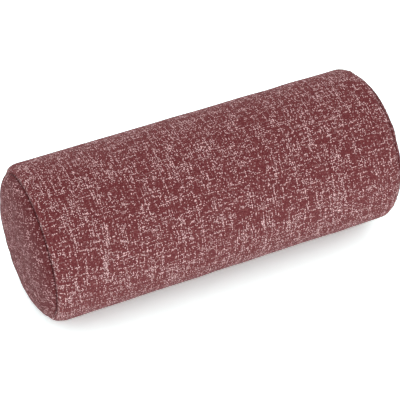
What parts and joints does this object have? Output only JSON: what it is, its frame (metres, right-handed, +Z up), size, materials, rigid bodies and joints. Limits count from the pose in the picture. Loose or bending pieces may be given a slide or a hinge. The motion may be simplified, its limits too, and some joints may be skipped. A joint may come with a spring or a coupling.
{
  "type": "bolster pillow",
  "caption": "Round bolster roll with domed sewn ends: a zipped woven cover over a lined cushion of foam and wadding, for support under the neck or knees.",
  "frame": {"origin": "centre of the flattened underside, on the surface that the roll rests on", "axes": "+X along the roll, towards the closed end of its zip; +Z up; the zip is on the +Y side"},
  "size_m": [0.3954, 0.16, 0.159],
  "materials": {
    "cover_cloth": "matte woven linen look",
    "cover_end_cloth": "matte woven linen look",
    "cover_thread": "spun thread",
    "zip_tape": "woven tape",
    "zip_nylon": "satin nylon",
    "zip_metal": "dark satin metal",
    "label_satin": "blank woven satin",
    "liner_calico": "unbleached calico",
    "liner_thread": "spun thread",
    "polyester_wadding": "soft fibre",
    "polyurethane_foam": "open cell foam"
  },
  "bodies": {
    "cover": {"cover_body_panel": "cover_cloth", "cover_end_left": "cover_end_cloth", "cover_end_right": "cover_end_cloth", "end_seam_thread_left": "cover_thread", "end_seam_thread_right": "cover_thread", "long_seam_thread_left": "cover_thread", "long_seam_thread_right": "cover_thread", "zip_tape_upper": "zip_tape", "zip_tape_lower": "zip_tape", "zip_coil_upper": "zip_nylon", "zip_coil_lower": "zip_nylon", "zip_top_stop_upper": "zip_metal", "zip_top_stop_lower": "zip_metal", "zip_bottom_stop": "zip_metal", "zip_topstitch": "cover_thread", "care_label": "label_satin", "liner_tube": "liner_calico", "liner_end_left": "liner_calico", "liner_end_right": "liner_calico", "liner_long_seam_thread": "liner_thread", "liner_seam_thread_left": "liner_thread", "liner_seam_thread_right": "liner_thread", "wadding_wrap": "polyester_wadding", "wadding_end_left": "polyester_wadding", "wadding_end_right": "polyester_wadding", "foam_core": "polyurethane_foam"},
    "zip_slider": {"zip_slider_body": "zip_metal"},
    "zip_pull": {"zip_slider_pull": "zip_metal"}
  },
  "joints": [
    {"name": "zip_slide", "type": "slide", "parent": "cover", "child": "zip_slider", "axis": [-1, 0, 0], "range_m": [0, 0.2939], "deforming": ["zip_coil_upper", "zip_coil_lower"]},
    {"name": "pull_swing", "type": "hinge", "parent": "zip_slider", "child": "zip_pull", "pos_m": [0.1484, 0.07567, 0.11034], "axis": [0, 0.3827, -0.9239], "range_deg": [0, 170]}
  ]
}
